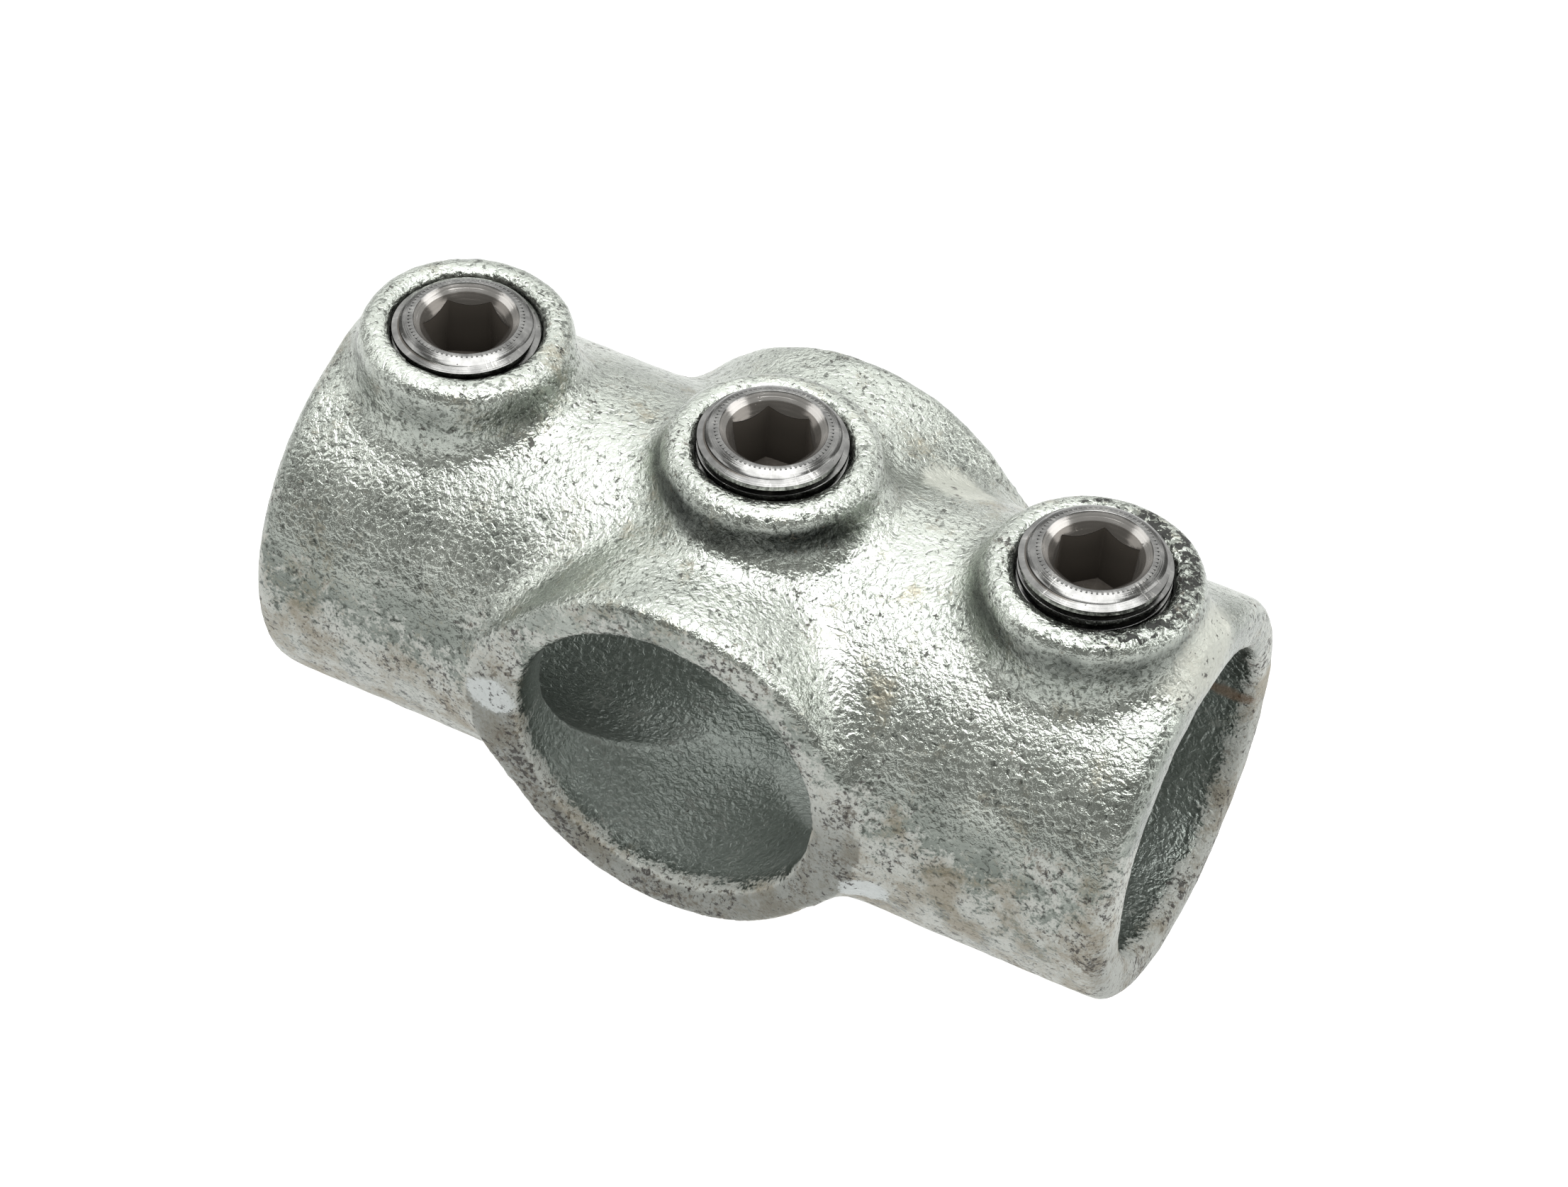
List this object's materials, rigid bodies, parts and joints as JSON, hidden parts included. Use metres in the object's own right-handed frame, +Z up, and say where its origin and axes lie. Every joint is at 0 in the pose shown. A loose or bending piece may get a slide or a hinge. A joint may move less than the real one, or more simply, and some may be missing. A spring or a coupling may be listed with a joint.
{
  "type": "cross tube clamp fitting",
  "caption": "Galvanised cast-iron cross fitting: a tube passes through its collar and others end in its barrel's sockets, each gripped by a hex-socket set screw in a boss.",
  "frame": {"origin": "where the axes of the through bore and of the two sockets cross", "axes": "+X along the barrel to the right socket, +Y along the through bore to the rear, +Z up along the set screws"},
  "size_m": [0.1024, 0.0468, 0.0538],
  "materials": {
    "galvanised_iron": "hot-dip galvanised sand-cast skin",
    "screw_steel": "turned steel, bare and dulled"
  },
  "bodies": {
    "casting": {"casting": "galvanised_iron"},
    "set_screw_left": {"set_screw_left": "screw_steel"},
    "set_screw_centre": {"set_screw_centre": "screw_steel"},
    "set_screw_right": {"set_screw_right": "screw_steel"}
  },
  "joints": [
    {"name": "left_screw_travel", "type": "slide", "parent": "casting", "child": "set_screw_left", "axis": [0, 0, 1], "range_m": [-0.0007, 0.004]},
    {"name": "centre_screw_travel", "type": "slide", "parent": "casting", "child": "set_screw_centre", "axis": [0, 0, 1], "range_m": [-0.0022, 0.004]},
    {"name": "right_screw_travel", "type": "slide", "parent": "casting", "child": "set_screw_right", "axis": [0, 0, 1], "range_m": [-0.0025, 0.004]}
  ]
}
